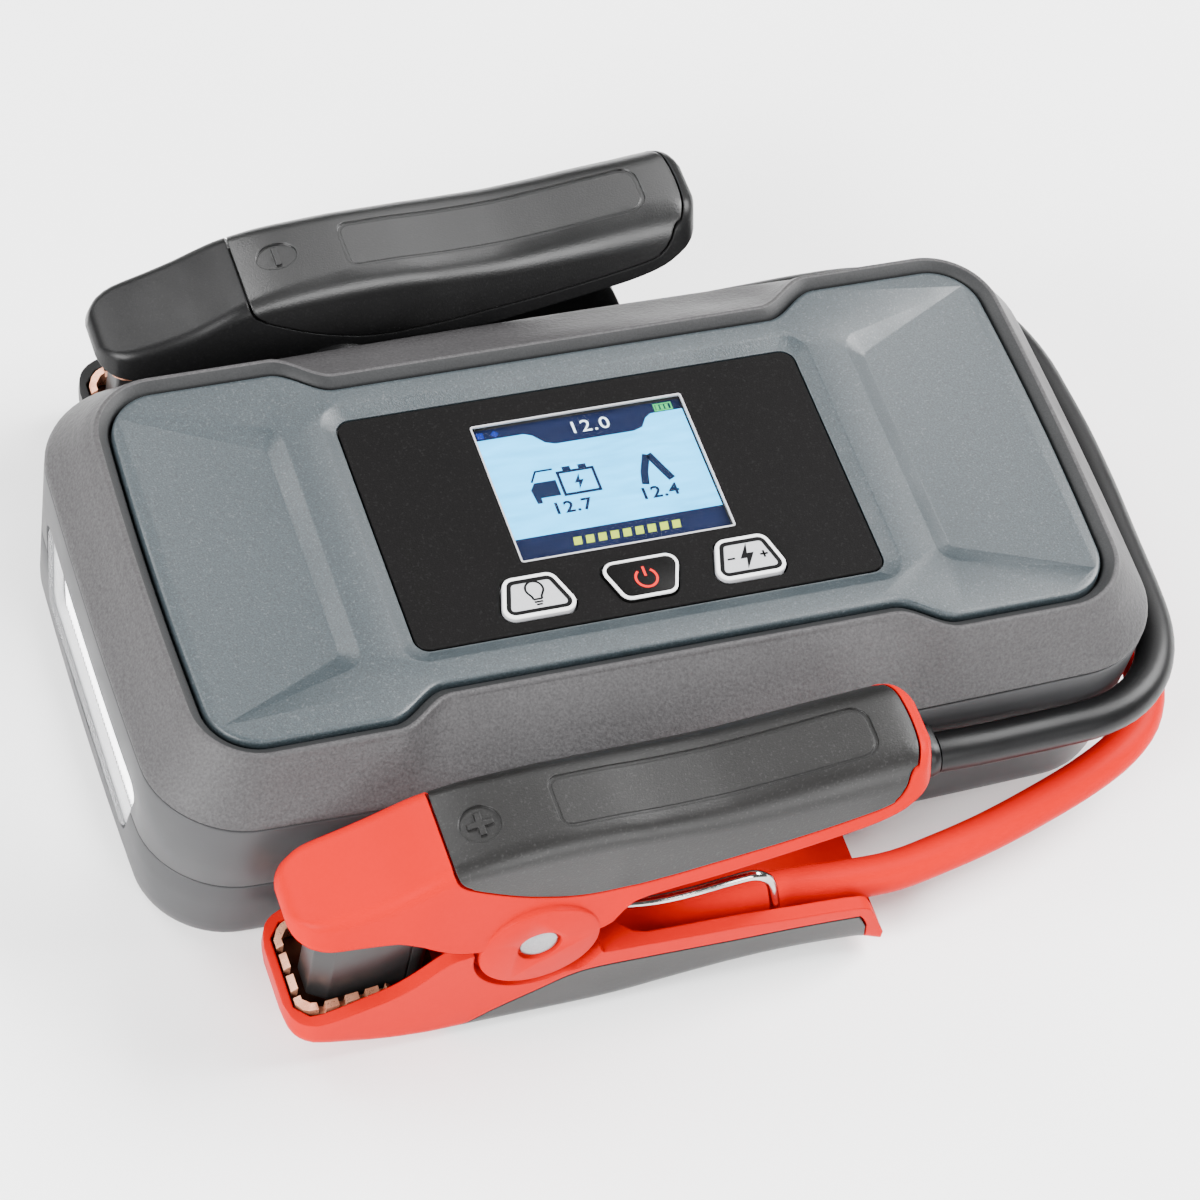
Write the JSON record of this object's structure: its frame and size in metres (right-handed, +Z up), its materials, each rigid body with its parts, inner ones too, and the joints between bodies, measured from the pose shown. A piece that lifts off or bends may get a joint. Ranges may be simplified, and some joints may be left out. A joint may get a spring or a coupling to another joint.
{
  "type": "jump starter pack",
  "caption": "Handheld lithium jump starter pack with a lit display, push keys, an end work lamp and sprung battery clamps docked along both long sides on short leads.",
  "frame": {"origin": "centre of the housing's flat underside, on the plane it rests on", "axes": "+X along the housing's long side towards the end that the leads wrap round, +Y to the rear long side (the one with the black clamp), +Z up out of the display"},
  "size_m": [0.1791, 0.1344, 0.0502],
  "materials": {
    "shoulder_plastic": "fine leather-like moulded texture, dark warm grey ABS",
    "wall_plastic": "satin smooth mid grey ABS",
    "insert_plastic": "matt blue-grey ABS with a fine grain",
    "overlay_black": "black fine-grained membrane",
    "display_glass": "clear acrylic window",
    "display": "colour LCD module",
    "silver_key": "satin silver painted plastic",
    "black_key": "satin black plastic",
    "lens": "clear polycarbonate lamp lens",
    "reflector": "metallised ribbed reflector",
    "circuit_board": "green glass-epoxy board",
    "led_board": "white LED board",
    "cell": "aluminised pouch",
    "black_plastic": "matt black nylon",
    "copper": null,
    "steel": "zinc plated steel",
    "spring_wire": "polished spring steel wire",
    "post_plastic": "dark grey nylon",
    "gland_rubber": "soft black strain relief",
    "grip_rubber": "fine-grained charcoal soft grip",
    "red_plastic": "satin red nylon",
    "black_clamp_plastic": "satin black nylon",
    "red_cable": "red silicone jacket over stranded copper",
    "black_cable": "black silicone jacket over stranded copper"
  },
  "bodies": {
    "housing": {"base_shell": "wall_plastic", "mid_shell": "wall_plastic", "top_shell": "shoulder_plastic", "insert_panel": "insert_plastic", "overlay_panel": "overlay_black", "display_window": "display_glass", "display_module": "display", "light_switch": "black_plastic", "power_switch": "black_plastic", "start_switch": "black_plastic", "main_board": "circuit_board", "lamp_lens": "lens", "lamp_reflector": "reflector", "lamp_board": "led_board", "cell_1": "cell", "cell_2": "cell", "cell_3": "cell", "cell_4": "cell", "cell_cradle": "black_plastic", "power_board": "circuit_board", "relay": "black_plastic", "positive_busbar": "copper", "negative_busbar": "copper", "port_bezel": "black_plastic", "usb_a_socket": "steel", "usb_c_socket": "steel", "case_screw_1": "steel", "case_screw_2": "steel", "case_screw_3": "steel", "case_screw_4": "steel", "front_dock_post": "post_plastic", "rear_dock_post": "post_plastic", "front_lead_gland": "gland_rubber", "rear_lead_gland": "gland_rubber", "positive_lead": "red_cable", "negative_lead": "black_cable", "positive_lower_half": "red_plastic", "positive_lower_grip": "grip_rubber", "positive_lower_jaw": "copper", "positive_pivot_rivet": "steel", "positive_spring": "spring_wire", "positive_lead_crimp": "copper", "negative_lower_half": "black_clamp_plastic", "negative_lower_grip": "grip_rubber", "negative_lower_jaw": "copper", "negative_pivot_rivet": "steel", "negative_spring": "spring_wire", "negative_lead_crimp": "copper"},
    "light_key": {"light_key": "silver_key"},
    "power_key": {"power_key": "black_key"},
    "start_key": {"start_key": "silver_key"},
    "positive_upper": {"positive_upper_half": "red_plastic", "positive_upper_grip": "grip_rubber", "positive_upper_jaw": "copper"},
    "negative_upper": {"negative_upper_half": "black_clamp_plastic", "negative_upper_grip": "grip_rubber", "negative_upper_jaw": "copper"}
  },
  "joints": [
    {"name": "light_key_press", "type": "slide", "parent": "housing", "child": "light_key", "axis": [0, 0, -1], "range_m": [0, 0.0006], "stiffness_N_per_m": 800, "springref_m": -0.0006},
    {"name": "power_key_press", "type": "slide", "parent": "housing", "child": "power_key", "axis": [0, 0, -1], "range_m": [0, 0.0006], "stiffness_N_per_m": 800, "springref_m": -0.0006},
    {"name": "start_key_press", "type": "slide", "parent": "housing", "child": "start_key", "axis": [0, 0, -1], "range_m": [0, 0.0006], "stiffness_N_per_m": 800, "springref_m": -0.0006},
    {"name": "positive_clamp_hinge", "type": "hinge", "parent": "housing", "child": "positive_upper", "pos_m": [-0.031, -0.056, 0.0224], "axis": [0, 1, 0], "range_deg": [0, 25], "stiffness_Nm_per_rad": 1, "springref_deg": -45.84, "deforming": ["positive_spring"]},
    {"name": "negative_clamp_hinge", "type": "hinge", "parent": "housing", "child": "negative_upper", "pos_m": [-0.031, 0.056, 0.0224], "axis": [0, 1, 0], "range_deg": [0, 25], "stiffness_Nm_per_rad": 1, "springref_deg": -45.84, "deforming": ["negative_spring"]}
  ]
}
